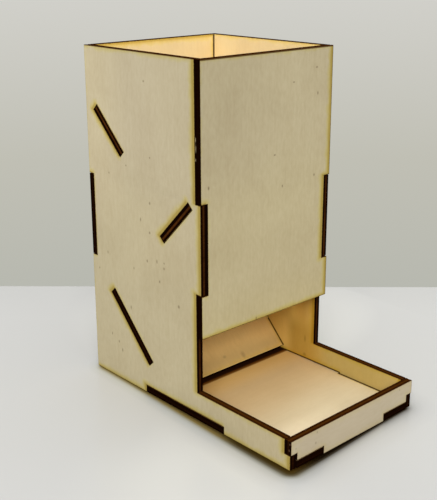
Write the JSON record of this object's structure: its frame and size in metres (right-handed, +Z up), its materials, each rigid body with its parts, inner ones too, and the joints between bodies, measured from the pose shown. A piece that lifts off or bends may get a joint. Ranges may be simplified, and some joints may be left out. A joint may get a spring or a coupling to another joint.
{
  "type": "dice tower",
  "caption": "Small laser-cut plywood dice tower: open square shaft with sloped baffles inside, a ramp and a shallow catch tray in front.",
  "frame": {"origin": "on the table, under the middle of the whole object's box", "axes": "+Z up, -Y towards the tray's open front, +X to the right when the tray faces the viewer"},
  "size_m": [0.0762, 0.127, 0.1524],
  "materials": {
    "outer_panels": "raw laser-cut birch plywood, pale, with charred cut edges",
    "tray_floor": "raw birch plywood, slightly warmer, worn by dice",
    "inner_baffles": "raw birch plywood, warm tan, with charred cut edges"
  },
  "bodies": {
    "root": {"left_side_panel": "outer_panels", "right_side_panel": "outer_panels", "back_panel": "outer_panels", "front_panel": "outer_panels", "tray_front_wall": "outer_panels", "floor_panel": "tray_floor", "upper_baffle": "inner_baffles", "middle_baffle": "inner_baffles", "lower_ramp": "inner_baffles"}
  },
  "joints": []
}
